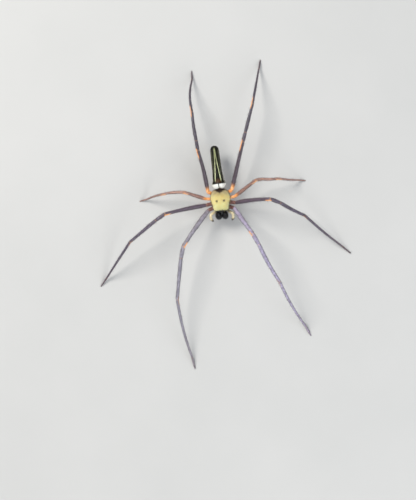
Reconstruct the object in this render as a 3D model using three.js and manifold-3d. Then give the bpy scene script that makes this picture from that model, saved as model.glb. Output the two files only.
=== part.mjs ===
// A life-size golden silk orb weaver, adult female, standing on a flat floor.
// Millimetres, +Z up. The head faces -Y, the abdomen points to +Y, the left legs are on +X.
// The floor is z = 0, and the origin is the middle of the footprint of the whole animal.
// Every limb segment and plate is a closed solid of its own. Neighbours face each other across a small gap.

import * as THREE from "three";
import { mergeVertices } from "three/addons/utils/BufferGeometryUtils.js";
import Module from "manifold-3d";

const wasm = await Module();
wasm.setup();

// Clearances
const JOINT_GAP = 0.3;
const EYE_GAP = 0.15;

// Prosoma: carapace above, sternum below
const CARAPACE = {
  rear: 6.1,
  front: -6.9,
  halfWidth: 5.2,
  headHalfWidth: 4.05,
  rim: 9.3,
  edge: 0.45,
  thoraxRise: 2.7,
  headRise: 4.3,
};
const CORE = { halfWidth: 2.1, front: -4.4, rear: 3.3, bottom: 6.75 };
const STERNUM = { halfWidth: 2.75, front: -3.0, rear: 3.6, bottom: 5.5, top: 6.45 };
const LABIUM = { halfWidth: 0.95, front: -4.75, rear: -3.3, bottom: 5.5, top: 6.45 };

// Opisthosoma
const ABDOMEN = {
  front: 6.6,
  rear: 29.2,
  shoulder: 3.9,
  waist: 2.78,
  middle: 2.38,
  rearHalfWidth: 2.17,
  lobe: 0.55,
  axisFront: 10.9,
  axisRear: 10.2,
  turn: THREE.MathUtils.degToRad(2.5),
  hinge: new THREE.Vector3(0, 6.4, 9.6),
};
const PEDICEL = { radius: 0.85, start: new THREE.Vector3(0, 4.6, 8.9), end: new THREE.Vector3(0, 9.0, 10.2) };
const SPINNERETS = { y: 25.0, root: 9.0, tip: 5.0, spread: 0.72, radius: 0.62, ring: 1.55, ringTip: 6.9 };

// Jaws
const CHELICERA = { offset: 1.68, halfWidth: 1.72, halfDepth: 1.85, top: 11.4, bottom: 4.6, back: -6.5, lean: 1.3 };
const FANG = { base: [2.3, -9.2, 4.35], bend: [2.35, -9.3, 3.0], point: [0.7, -7.2, 3.9], radius: 0.5 };

// Eyes: place on the head seen from above, radius, and how far they stand out
const EYES = {
  front_median: { x: 0.62, y: -6.55, z: 11.35, r: 0.36 },
  rear_median: { x: 0.66, y: -5.65, z: 12.35, r: 0.36 },
  front_side: { x: 3.0, y: -6.15, z: 10.75, r: 0.3 },
  rear_side: { x: 3.2, y: -5.3, z: 11.3, r: 0.3 },
};
const HORN = { x: 1.9, y: -0.9, radius: 0.5, height: 0.85 };

// Leg pose: hip is where the femur starts, knee the femur's end, ankle the tibia's end, foot the claw tip.
// The two sides stand differently. Sway bows the femur, the tibia and the metatarsus sideways, seen from above.
const HIPS = {
  1: { coxa: [2.75, -3.35, 7.65], hip: [6.9, -4.9, 8.4] },
  2: { coxa: [3.1, -1.25, 7.6], hip: [7.9, -2.1, 8.4] },
  3: { coxa: [3.0, 0.85, 7.6], hip: [7.8, 1.2, 8.4] },
  4: { coxa: [2.35, 2.8, 7.6], hip: [6.5, 4.9, 8.4] },
};
const STANCE = {
  left: {
    1: { knee: [16.2, -19.8, 21.5], ankle: [28.1, -46.3, 19.0], foot: [42.0, -77.3], sway: [0, 0.5, 0.75] },
    2: { knee: [27.0, -2.0, 21.5], ankle: [44.5, -12.3, 10.0], foot: [67.2, -34.6], sway: [-0.4, 0.3, 0.4] },
    3: { knee: [20.0, 8.9, 13.8], ankle: [31.9, 8.8, 9.6], foot: [46.0, 6.7], sway: [0, 0.3, 0.2] },
    4: { knee: [14.9, 29.9, 14.0], ankle: [21.8, 49.7, 13.5], foot: [27.6, 73.6], sway: [0, 0, 0] },
  },
  right: {
    1: { knee: [-21.8, -23.2, 16.0], ankle: [-27.9, -51.6, 11.5], foot: [-22.5, -90.2], sway: [0.35, 0.1, 0.85] },
    2: { knee: [-30.0, -5.0, 17.0], ankle: [-50.4, -18.3, 14.0], foot: [-69.8, -41.0], sway: [0.27, 0, 0] },
    3: { knee: [-18.9, 5.8, 14.5], ankle: [-30.1, 6.0, 9.8], foot: [-44.2, 3.4], sway: [0, 0.2, 0.25] },
    4: { knee: [-9.4, 27.3, 17.5], ankle: [-10.9, 48.2, 15.0], foot: [-10.1, 71.1], sway: [0.5, -0.25, -1.1] },
  },
};
const PATELLA_BEND = 0.2;
const LEG_SIZE = {
  1: { base: 1.0, girth: 1.12, patella: 6.4, tarsus: 6.0 },
  2: { base: 0.97, girth: 1.02, patella: 6.0, tarsus: 5.6 },
  3: { base: 0.8, girth: 0.88, patella: 3.6, tarsus: 4.2 },
  4: { base: 0.95, girth: 0.98, patella: 5.2, tarsus: 5.2 },
};
// Radii along a leg from the trunk outwards. The first three are scaled by its base, the others by its girth.
const HIP_RADIUS = { coxaRoot: 0.85, coxa: 1.2, trochanter: 1.08 };
const LEG_RADIUS = {
  femurRoot: 0.96,
  femur: 1.14,
  femurEnd: 0.94,
  patella: 0.97,
  tibia: 0.9,
  tibiaEnd: 0.72,
  metatarsus: 0.64,
  metatarsusEnd: 0.47,
  tarsus: 0.42,
  tip: 0.28,
};
const TROCHANTER_LENGTH = 1.5;
const TARSUS_RISE = 1.5;
const TIP_SINK = 0.35;
const CLAW = { length: 0.75, radius: 0.2, spread: 0.16 };

// Palp pose on the left side, mirrored for the right
const PALP = {
  root: [2.6, -5.35, 6.4],
  knee: [6.1, -7.75, 9.6],
  wrist: [6.1, -9.5, 8.3],
  tip: [5.2, -11.2, 5.2],
};
const PALP_RADIUS = { root: 0.62, femur: 0.68, knee: 0.62, tibia: 0.64, tarsus: 0.68, tip: 0.26 };

const COLOURS = {
  carapace: { color: 0xe6cf7a, roughness: 0.7 },
  sternum: { color: 0xd08a35, roughness: 0.55 },
  abdomen: { color: 0x17150f, roughness: 0.45 },
  pedicel: { color: 0x4a2b18, roughness: 0.6 },
  jaw: { color: 0x0d0b0c, roughness: 0.25 },
  palp: { color: 0xcdbb8e, roughness: 0.6 },
  eye: { color: 0x050406, roughness: 0.08 },
  legBase: { color: 0xd5813f, roughness: 0.55 },
  leg: { color: 0x2b2229, roughness: 0.5 },
};

const vec = (p) => new THREE.Vector3(p[0], p[1], p[2] ?? 0);
const mix = THREE.MathUtils.lerp;
const smooth = THREE.MathUtils.smoothstep;

// Value of a profile at t, from [t, value] stops joined by smooth steps.
function along(stops, t) {
  for (let i = 1; i < stops.length; i++) {
    const [t0, v0] = stops[i - 1];
    const [t1, v1] = stops[i];
    if (t <= t1) return mix(v0, v1, smooth(t, t0, t1));
  }
  return stops[stops.length - 1][1];
}

// A closed unit shape whose vertices are moved by place(point).
function reshaped(geometry, place) {
  geometry.deleteAttribute("normal");
  geometry.deleteAttribute("uv");
  const merged = mergeVertices(geometry, 1e-4);
  const position = merged.getAttribute("position");
  const point = new THREE.Vector3();
  for (let i = 0; i < position.count; i++) {
    point.copy(place(point.fromBufferAttribute(position, i)));
    position.setXYZ(i, point.x, point.y, point.z);
  }
  return merged;
}

// Solids for joining and cutting

function solidOf(geometry) {
  return new wasm.Manifold(
    new wasm.Mesh({
      numProp: 3,
      vertProperties: Float32Array.from(geometry.getAttribute("position").array),
      triVerts: Uint32Array.from(geometry.index.array),
    }),
  );
}

function geometryOf(solid) {
  const pieces = solid.decompose();
  const largest = pieces.reduce((a, b) => (b.volume() > a.volume() ? b : a));
  const mesh = largest.getMesh();
  const geometry = new THREE.BufferGeometry();
  geometry.setAttribute("position", new THREE.BufferAttribute(new Float32Array(mesh.vertProperties), 3));
  geometry.setIndex(new THREE.BufferAttribute(new Uint32Array(mesh.triVerts), 1));
  return geometry;
}

const united = (solids) => solids.reduce((a, b) => a.add(b));

// A solid made for the left side, mirrored if it is wanted on the right.
const onSide = (solid, side) => (side > 0 ? solid : solid.mirror([1, 0, 0]));

function ball(centre, radius, sides = 12, rings = 7) {
  const geometry = new THREE.SphereGeometry(radius, sides, rings);
  return solidOf(reshaped(geometry, (p) => p.add(centre)));
}

// Limb segments

// A round bar from one joint to the next. Its end faces lie in the joints' own planes,
// radius(t) gives [half width, half height]. bow lifts the middle and sway moves it sideways.
function segment({ from, to, fromPlane, toPlane, radius, sides = 10, steps = 7, bow = 0, sway = 0, gaps = [1, 1] }) {
  const axis = to.clone().sub(from).normalize();
  const start = from.clone().addScaledVector(axis, (gaps[0] * JOINT_GAP) / 2 / axis.dot(fromPlane));
  const end = to.clone().addScaledVector(axis, (-gaps[1] * JOINT_GAP) / 2 / axis.dot(toPlane));
  const up = new THREE.Vector3(0, 0, 1);
  const side = axis.clone().cross(up).normalize();
  const lift = side.clone().cross(axis).normalize();
  const length = start.distanceTo(end);
  return solidOf(
    reshaped(new THREE.CylinderGeometry(1, 1, 1, sides, steps), (p) => {
      const t = p.y + 0.5;
      const [wide, high] = radius(t);
      const offset = side.clone().multiplyScalar(p.x * wide).addScaledVector(lift, p.z * high);
      const fromEnd = Math.exp((-t * length) / 1.2);
      const toEnd = Math.exp((-(1 - t) * length) / 1.2);
      const slide =
        -((offset.dot(fromPlane) / axis.dot(fromPlane)) * fromEnd + (offset.dot(toPlane) / axis.dot(toPlane)) * toEnd);
      return start
        .clone()
        .lerp(end, t)
        .addScaledVector(lift, bow * Math.sin(Math.PI * t))
        .addScaledVector(side, sway * Math.sin(Math.PI * t))
        .add(offset)
        .addScaledVector(axis, slide);
    }),
  );
}

// A round bar along a curve that never runs parallel to up, with radius(t).
function curvedBar(curve, radius, sides, steps, up) {
  return solidOf(
    reshaped(new THREE.CylinderGeometry(1, 1, 1, sides, steps), (p) => {
      const t = p.y + 0.5;
      const way = curve.getTangent(t);
      const side = way.clone().cross(up).normalize();
      const lift = side.clone().cross(way);
      return curve
        .getPoint(t)
        .addScaledVector(side, p.x * radius(t))
        .addScaledVector(lift, p.z * radius(t));
    }),
  );
}

// The plane across a bend: its normal is half way between the two directions.
const across = (before, after) => before.clone().add(after).normalize();

function limbJoints(side, pair) {
  const mirror = side === "left" ? 1 : -1;
  const mirrored = (p) => new THREE.Vector3(mirror * p[0], p[1], p[2]);
  const size = LEG_SIZE[pair];
  const coxa = mirrored(HIPS[pair].coxa);
  const hip = mirrored(HIPS[pair].hip);
  const pose = STANCE[side][pair];
  const knee = vec(pose.knee);
  const ankle = vec(pose.ankle);
  const foot = vec([...pose.foot, LEG_RADIUS.tip * size.girth * (1 - TIP_SINK)]);
  const toKnee = knee.clone().sub(hip).normalize();
  const toAnkle = ankle.clone().sub(knee).normalize();
  const toFoot = foot.clone().sub(ankle).normalize();
  const patellaWay = toKnee.clone().multiplyScalar(PATELLA_BEND).add(toAnkle).normalize();
  const patellaEnd = knee.clone().addScaledVector(patellaWay, size.patella);
  const tarsusStart = foot.clone().addScaledVector(toFoot, -size.tarsus);
  tarsusStart.z = TARSUS_RISE;
  return { coxa, hip, knee, patellaEnd, ankle, tarsusStart, foot };
}

function legSolids(side, pair) {
  const size = LEG_SIZE[pair];
  const scaled = (radii, factor) => Object.fromEntries(Object.entries(radii).map(([k, v]) => [k, v * factor]));
  const r = { ...scaled(HIP_RADIUS, size.base), ...scaled(LEG_RADIUS, size.girth) };
  const [femurSway, tibiaSway, metatarsusSway] = STANCE[side][pair].sway;
  const j = limbJoints(side, pair);
  const way = (a, b) => b.clone().sub(a).normalize();
  const ways = {
    coxa: way(j.coxa, j.hip),
    femur: way(j.hip, j.knee),
    patella: way(j.knee, j.patellaEnd),
    tibia: way(j.patellaEnd, j.ankle),
    metatarsus: way(j.ankle, j.tarsusStart),
    tarsus: way(j.tarsusStart, j.foot),
  };
  const planes = {
    root: new THREE.Vector3(Math.sign(j.coxa.x), 0, 0).lerp(ways.coxa, 0.5).normalize(),
    hip: across(ways.coxa, ways.femur),
    knee: across(ways.femur, ways.patella),
    patella: across(ways.patella, ways.tibia),
    ankle: across(ways.tibia, ways.metatarsus),
    tarsus: across(ways.metatarsus, ways.tarsus),
  };
  const neck = 1 - TROCHANTER_LENGTH / j.coxa.distanceTo(j.hip);
  const coxa = segment({
    from: j.coxa,
    to: j.hip,
    fromPlane: planes.root,
    toPlane: planes.hip,
    steps: 6,
    radius: (t) => {
      const wide = along([[0, r.coxaRoot], [0.45, r.coxa], [neck, r.coxa * 0.86], [1, r.trochanter]], t);
      return [wide, Math.max(wide, r.coxa * 0.9)];
    },
  });
  const femur = segment({
    from: j.hip,
    to: j.knee,
    fromPlane: planes.hip,
    toPlane: planes.knee,
    steps: 7,
    bow: 0.35 * size.girth,
    sway: femurSway,
    radius: (t) => {
      const wide = along([[0, r.femurRoot], [0.25, r.femur], [0.85, r.femurEnd * 0.96], [1, r.femurEnd]], t);
      return [wide, wide * 1.06];
    },
  });
  const patella = segment({
    from: j.knee,
    to: j.patellaEnd,
    fromPlane: planes.knee,
    toPlane: planes.patella,
    steps: 4,
    gaps: [1, -1],
    radius: (t) => {
      const wide = along([[0, r.femurEnd], [0.5, r.patella], [1, r.tibia * 0.97]], t);
      return [wide, wide];
    },
  });
  const tibia = segment({
    from: j.patellaEnd,
    to: j.ankle,
    fromPlane: planes.patella,
    toPlane: planes.ankle,
    steps: 6,
    sway: tibiaSway,
    gaps: [-1, 1],
    radius: (t) => {
      const wide = along([[0, r.tibia * 0.95], [0.2, r.tibia], [0.85, r.tibiaEnd], [1, r.tibiaEnd * 1.04]], t);
      return [wide, wide];
    },
  });
  const metatarsus = segment({
    from: j.ankle,
    to: j.tarsusStart,
    fromPlane: planes.ankle,
    toPlane: planes.tarsus,
    sides: 8,
    steps: 6,
    bow: 0.5 * size.girth,
    sway: metatarsusSway,
    gaps: [1, -1],
    radius: (t) => {
      const wide = along([[0, r.metatarsus * 1.12], [0.12, r.metatarsus], [1, r.metatarsusEnd]], t);
      return [wide, wide];
    },
  });
  const tarsus = segment({
    from: j.tarsusStart,
    to: j.foot,
    fromPlane: planes.tarsus,
    toPlane: ways.tarsus,
    sides: 8,
    steps: 3,
    gaps: [-1, 0],
    radius: (t) => {
      const wide = along([[0, r.metatarsusEnd * 0.96], [0.3, r.tarsus], [1, r.tip]], t);
      return [wide, wide];
    },
  });
  const foot = united([metatarsus, tarsus, ...claws(j.foot, ways.tarsus)]).subtract(floorBlock());
  return { coxa, femur, tibia: united([patella, tibia]), foot };
}

// Two small hooks at the end of a foot, lying level just above the floor.
function claws(tip, way) {
  const forward = way.clone().setZ(0).normalize();
  const side = new THREE.Vector3(-forward.y, forward.x, 0);
  return [-1, 1].map((hand) => {
    const cone = new THREE.CylinderGeometry(CLAW.radius * 0.3, CLAW.radius, 1, 6, 2);
    return solidOf(
      reshaped(cone, (p) => {
        const t = p.y + 0.5;
        return tip
          .clone()
          .addScaledVector(forward, mix(-0.25, CLAW.length, t))
          .addScaledVector(side, hand * (CLAW.spread * (0.4 + t)) + p.z)
          .add(new THREE.Vector3(0, 0, p.x + 0.12 * Math.sin(Math.PI * t) - 0.08 * t));
      }),
    );
  });
}

let floorSolid = null;
function floorBlock() {
  const reach = 240;
  const depth = 10;
  floorSolid ??= solidOf(reshaped(new THREE.BoxGeometry(reach, reach, depth), (p) => p.setZ(p.z - depth / 2)));
  return floorSolid;
}

// Prosoma

// Half width of the carapace at y: a broad head with nearly straight sides, a rounder thorax.
function carapaceHalfWidth(y) {
  const c = CARAPACE;
  const head = along([[c.front, c.headHalfWidth * 0.95], [-5.2, c.headHalfWidth], [-3.2, 4.2], [0.6, c.halfWidth]], y);
  const t = Math.max(0, (y - 0.6) / (c.rear - 0.6));
  return head * (1 - 0.25 * t * t);
}

// Height of the carapace above its rim: raised head, lower thorax, grooves between, a dip in the thorax.
function carapaceRise(x, y) {
  const c = CARAPACE;
  const head = smooth(-y, -0.8, 2.6);
  const crown = mix(c.thoraxRise, c.headRise, head);
  const frontSlope = 1 - 0.42 * smooth(-y, 4.4, 6.9);
  const rearSlope = 1 - 0.62 * smooth(y, 2.2, 6.1);
  const grooveY = -0.4 - 0.75 * Math.abs(x);
  const groove = 0.5 * Math.exp(-Math.pow((y - grooveY) / 0.7, 2)) * smooth(Math.abs(x), 0.3, 2.2);
  const fovea = 0.35 * Math.exp(-(x * x + Math.pow(y - 2.0, 2)) / 0.9);
  return crown * frontSlope * rearSlope - groove - fovea;
}

// A dome over a rounded rectangle: the top follows the rise, the underside is nearly flat.
function carapacePoint(p, grown = 0) {
  const c = CARAPACE;
  const round = Math.hypot(p.x, p.y);
  const turn = Math.atan2(p.y, p.x);
  const square = 1 / Math.pow(Math.pow(Math.cos(turn), 4) + Math.pow(Math.sin(turn), 4), 1 / 4);
  const middle = (c.front + c.rear) / 2;
  const half = (c.rear - c.front) / 2 + grown;
  const y = middle + half * Math.sin(turn) * square * round;
  const x = (carapaceHalfWidth(y) + grown) * Math.cos(turn) * square * round;
  const fall = Math.sqrt(Math.max(0, 1 - Math.pow(round, 3.2)));
  const top = c.rim + grown + Math.max(0.2, carapaceRise(x, y)) * fall;
  return new THREE.Vector3(x, y, p.z >= 0 ? top : c.rim - grown - c.edge * fall);
}

function carapaceShell(grown = 0, around = 32, rings = 18) {
  const sphere = new THREE.SphereGeometry(1, around, rings).rotateX(Math.PI / 2);
  return solidOf(reshaped(sphere, (p) => carapacePoint(p, grown)));
}

function prosomaCore(grown = 0) {
  const c = CORE;
  const top = CARAPACE.rim + 0.8;
  const block = new THREE.CylinderGeometry(1, 1, 1, 20, 1);
  return solidOf(
    reshaped(block, (p) => {
      const x = (c.halfWidth + grown) * p.x;
      const y = mix(c.front - grown, c.rear + grown, (1 - p.z) / 2);
      return new THREE.Vector3(x, y, p.y > 0 ? top : c.bottom - grown);
    }),
  );
}

function horn(side) {
  const cone = new THREE.CylinderGeometry(HORN.radius * 0.25, HORN.radius, HORN.height + 0.8, 8, 2);
  const base = CARAPACE.rim + carapaceRise(HORN.x, HORN.y);
  return solidOf(
    reshaped(cone, (p) => new THREE.Vector3(side * HORN.x + p.x, HORN.y - p.z, base + p.y + HORN.height / 2 - 0.4)),
  );
}

function eyeCentre(name, side) {
  const e = EYES[name];
  return new THREE.Vector3(side * e.x, e.y, e.z);
}

function carapaceSolid() {
  const tubercles = [];
  const sockets = [];
  for (const [name, e] of Object.entries(EYES)) {
    for (const side of [-1, 1]) {
      tubercles.push(ball(eyeCentre(name, side).add(new THREE.Vector3(0, 0.42, -0.38)), e.r * 1.75, 9, 6));
      sockets.push(ball(eyeCentre(name, side), e.r + EYE_GAP, 8, 5));
    }
  }
  const body = united([carapaceShell(), prosomaCore(), horn(-1), horn(1), ...tubercles]);
  return sockets.reduce((a, b) => a.subtract(b), body);
}

// Heart-shaped plate under the body, with low humps beside the coxae.
function sternumSolid() {
  const s = STERNUM;
  const sphere = new THREE.SphereGeometry(1, 20, 8).rotateX(Math.PI / 2);
  return solidOf(
    reshaped(sphere, (p) => {
      const y = mix(s.front, s.rear, (p.y + 1) / 2);
      const taper = 1 - 0.5 * smooth(y, -0.6, s.rear);
      const x = s.halfWidth * taper * p.x;
      const flat = Math.sign(p.z) * Math.pow(Math.abs(p.z), 0.45);
      const hump = 0.22 * Math.exp(-Math.pow((Math.abs(x) - 1.7) / 0.5, 2)) * Math.pow(Math.cos(y * 1.5), 2);
      const z = p.z > 0 ? mix((s.top + s.bottom) / 2, s.top, flat) : mix((s.top + s.bottom) / 2, s.bottom - hump, -flat);
      return new THREE.Vector3(x, y, z);
    }),
  );
}

function labiumSolid() {
  const s = LABIUM;
  const sphere = new THREE.SphereGeometry(1, 16, 8).rotateX(Math.PI / 2);
  return solidOf(
    reshaped(sphere, (p) => {
      const y = mix(s.front, s.rear, (p.y + 1) / 2);
      const x = s.halfWidth * (1 - 0.25 * smooth(-y, -s.rear, -s.front)) * Math.sign(p.x) * Math.pow(Math.abs(p.x), 0.8);
      return new THREE.Vector3(x, y, mix(s.bottom, s.top, (p.z + 1) / 2));
    }),
  );
}

// Paddle beside the labium that carries the palp.
function maxillaSolid(side, grown = 0) {
  const sphere = new THREE.SphereGeometry(1, 12, 8).rotateX(Math.PI / 2);
  const from = new THREE.Vector3(side * 3.05, -3.95, 6.35);
  const to = new THREE.Vector3(side * 1.15, -6.35, 5.9);
  const way = to.clone().sub(from);
  const sideways = new THREE.Vector3(way.y, -way.x, 0).normalize();
  return solidOf(
    reshaped(sphere, (p) => {
      const t = (p.y + 1) / 2;
      const wide = mix(0.75, 1.0, smooth(t, 0.2, 0.8)) + grown;
      return from
        .clone()
        .addScaledVector(way, t)
        .addScaledVector(sideways, p.x * wide)
        .add(new THREE.Vector3(0, 0, p.z * (0.55 + grown)));
    }),
  );
}

// Jaws

// Stout jaw base: swollen above, cut off blunt below, flat where it faces the other one.
function cheliceraSolid(side) {
  const c = CHELICERA;
  const sphere = new THREE.SphereGeometry(1, 16, 12);
  const left = solidOf(
    reshaped(sphere, (p) => {
      const t = (1 - p.y) / 2;
      const round = Math.hypot(p.x, p.z);
      const blunt = t < 0.5 ? 2.6 : 7;
      const fill = round > 0 ? Math.sqrt(1 - Math.pow(Math.abs(p.y), blunt)) / round : 0;
      const wide = along([[0, 0.95], [0.35, 1.06], [0.85, 0.8], [1, 0.74]], t) * c.halfWidth;
      const deep = along([[0, 0.9], [0.35, 1.1], [0.85, 0.78], [1, 0.7]], t) * c.halfDepth;
      const z = mix(c.top, c.bottom, t);
      const y = c.back - 1.2 - c.lean * smooth(t, 0, 0.9) - p.z * fill * deep;
      const x = c.offset + p.x * fill * wide;
      return new THREE.Vector3(Math.max(x, mix(x, JOINT_GAP / 2, 0.85), JOINT_GAP / 2), y, z);
    }),
  );
  return onSide(left, side);
}

// Curved tooth folded in under the jaw.
function fangSolid(side) {
  const { base, bend, point, radius } = FANG;
  const curve = new THREE.QuadraticBezierCurve3(vec(base), vec(bend), vec(point));
  const left = curvedBar(curve, (t) => radius * (1 - 0.8 * t * t), 8, 8, vec([1, 0.2, 0]));
  return onSide(left, side);
}

// Palps

function palpSolid(side) {
  const mirrored = (p) => new THREE.Vector3(side * p[0], p[1], p[2]);
  const [root, knee, wrist, tip] = [PALP.root, PALP.knee, PALP.wrist, PALP.tip].map(mirrored);
  const way = (a, b) => b.clone().sub(a).normalize();
  const ways = [way(root, knee), way(knee, wrist), way(wrist, tip)];
  const kneePlane = across(ways[0], ways[1]);
  const wristPlane = across(ways[1], ways[2]);
  const r = PALP_RADIUS;
  const part = (from, to, fromPlane, toPlane, stops, gaps) =>
    segment({
      from,
      to,
      fromPlane,
      toPlane,
      gaps,
      sides: 8,
      steps: 3,
      radius: (t) => [along(stops, t), along(stops, t)],
    });
  return united([
    part(root, knee, ways[0], kneePlane, [[0, r.root], [0.5, r.femur], [1, r.knee]], [1, -0.5]),
    part(knee, wrist, kneePlane, wristPlane, [[0, r.knee], [0.6, r.tibia], [1, r.tibia]], [-0.5, -0.5]),
    part(wrist, tip, wristPlane, ways[2], [[0, r.tibia], [0.35, r.tarsus], [1, r.tip]], [-0.5, 0]),
  ]);
}

// Opisthosoma

function abdomenHalfWidth(t) {
  const a = ABDOMEN;
  return along([[0, a.shoulder], [0.06, a.shoulder], [0.2, a.waist], [0.45, a.middle], [1, a.rearHalfWidth]], t);
}

// The abdomen is a blunt cigar with two low lobes in front, and below them the lung covers and the genital plate.
function abdomenPoint(p, grown = 0) {
  const a = ABDOMEN;
  const t = (p.y + 1) / 2;
  const round = Math.hypot(p.x, p.z);
  const fill = round > 0 ? Math.sqrt(1 - Math.pow(Math.abs(p.y), 12)) / round : 0;
  const wide = abdomenHalfWidth(t) + grown;
  const high = wide * mix(0.86, 1.1, smooth(t, 0, 0.35));
  const x = wide * p.x * fill;
  let y = mix(a.front - grown, a.rear + grown, t);
  let z = mix(a.axisFront, a.axisRear, t) + high * p.z * fill;
  y -= a.lobe * Math.exp(-Math.pow((Math.abs(x) - 1.9) / 0.9, 2)) * (1 - smooth(t, 0, 0.12)) * smooth(p.z, -0.6, 0.3);
  if (p.z < 0) {
    const lungs = 0.3 * Math.exp(-Math.pow((t - 0.16) / 0.08, 2)) * Math.exp(-Math.pow((Math.abs(x) - 1.5) / 0.8, 2));
    const plate = 0.3 * Math.exp(-Math.pow((t - 0.23) / 0.035, 2)) * Math.exp(-Math.pow(x / 0.9, 2));
    z -= (lungs + plate) * smooth(-p.z, 0, 0.5);
  }
  const turned = new THREE.Vector3(x, y, z).sub(a.hinge);
  return turned.applyAxisAngle(new THREE.Vector3(0, 0, 1), a.turn).add(a.hinge);
}

function abdomenSolid(grown = 0) {
  const sphere = new THREE.SphereGeometry(1, 26, 24);
  return solidOf(reshaped(sphere, (p) => abdomenPoint(p, grown)));
}

function pedicelSolid() {
  const { start, end, radius } = PEDICEL;
  const way = end.clone().sub(start).normalize();
  return segment({ from: start, to: end, fromPlane: way, toPlane: way, radius: () => [radius, radius], steps: 4 });
}

// Two large pairs of tapered spinnerets, a small pair between them and the anal cone behind, on one low ring.
function spinneretsSolid() {
  const s = SPINNERETS;
  const cone = ({ x, y, radius, tip, lean, blunt = 0.45 }) => {
    const shape = new THREE.CylinderGeometry(1, 1, 1, 8, 3);
    return solidOf(
      reshaped(shape, (p) => {
        const t = 0.5 - p.y;
        const r = radius * mix(blunt, 1, smooth(t, -0.25, 0.45));
        const z = mix(s.root, tip, 1 - t);
        return new THREE.Vector3(x + lean[0] * (1 - t) + p.x * r, y + lean[1] * (1 - t) + p.z * r, z);
      }),
    );
  };
  const pair = (side) => [
    cone({ x: side * s.spread, y: s.y - 0.75, radius: s.radius, tip: s.tip, lean: [side * 0.1, -0.1] }),
    cone({ x: side * s.spread, y: s.y + 0.85, radius: s.radius, tip: s.tip + 0.25, lean: [side * 0.12, 0.3] }),
    cone({ x: side * 0.3, y: s.y + 0.05, radius: 0.34, tip: s.tip + 0.7, lean: [0, 0] }),
  ];
  const ring = cone({ x: 0, y: s.y + 0.3, radius: s.ring, tip: s.ringTip, lean: [0, 0], blunt: 0.85 });
  const anus = cone({ x: 0, y: s.y + 2.0, radius: 0.6, tip: s.tip + 1.6, lean: [0, 0.15] });
  const { x, y, z } = ABDOMEN.hinge;
  return united([ring, anus, ...pair(-1), ...pair(1)])
    .translate([-x, -y, -z])
    .rotate([0, 0, THREE.MathUtils.radToDeg(ABDOMEN.turn)])
    .translate([x, y, z]);
}

// Assembly

const spider = new THREE.Group();
spider.name = "golden_silk_orb_weaver";

function addNode(name, solid, look) {
  const mesh = new THREE.Mesh(geometryOf(solid), new THREE.MeshStandardMaterial(COLOURS[look]));
  mesh.name = name;
  spider.add(mesh);
}

const sides = { left: 1, right: -1 };
const clearOfTrunk = united([carapaceShell(JOINT_GAP, 24, 14), prosomaCore(JOINT_GAP)]);
const clearOfAbdomen = abdomenSolid(JOINT_GAP);
const carapace = carapaceSolid().subtract(clearOfAbdomen);

addNode("carapace", carapace, "carapace");
addNode("sternum", sternumSolid(), "sternum");
addNode("labium", labiumSolid(), "jaw");
addNode("abdomen", abdomenSolid(), "abdomen");
addNode("pedicel", pedicelSolid().subtract(clearOfTrunk).subtract(clearOfAbdomen), "pedicel");
addNode("spinnerets", spinneretsSolid().subtract(clearOfAbdomen), "pedicel");

for (const [name, side] of Object.entries(sides)) {
  addNode(`chelicera_${name}`, cheliceraSolid(side).subtract(clearOfTrunk), "jaw");
  addNode(`fang_${name}`, fangSolid(side), "jaw");
  addNode(`maxilla_${name}`, maxillaSolid(side), "jaw");
  addNode(`palp_${name}`, palpSolid(side).subtract(maxillaSolid(side, JOINT_GAP)), "palp");
  for (const [eye, size] of Object.entries(EYES)) {
    addNode(`eye_${eye}_${name}`, ball(eyeCentre(eye, side), size.r, 10, 6), "eye");
  }
  for (const pair of [1, 2, 3, 4]) {
    const leg = legSolids(name, pair);
    const base = pair > 2 ? "legBase" : "leg";
    addNode(`leg_${name}_${pair}_coxa`, leg.coxa.subtract(clearOfTrunk), base);
    addNode(`leg_${name}_${pair}_femur`, leg.femur, "leg");
    addNode(`leg_${name}_${pair}_tibia`, leg.tibia, "leg");
    addNode(`leg_${name}_${pair}_foot`, leg.foot, "leg");
  }
}

// The origin is the middle of the footprint, on the floor.
const outline = new THREE.Box3().setFromObject(spider);
const middle = outline.getCenter(new THREE.Vector3());
spider.children.forEach((mesh) => mesh.geometry.translate(-middle.x, -middle.y, -outline.min.z));

export default spider;
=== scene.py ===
"""A life-size golden silk orb weaver on a pale floor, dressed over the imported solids.

Shapes are worked out in millimetres in the animal's own frame: the head faces -Y, the abdomen points to +Y,
the left legs are on +X and the floor is z = 0. Each skin is a grid of points over one or more solids, and
each coat of hair is scattered over such a grid.
"""

import math
from types import SimpleNamespace as Named
from typing import NamedTuple

import bpy
import numpy as np
from mathutils import Matrix, Vector


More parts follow.
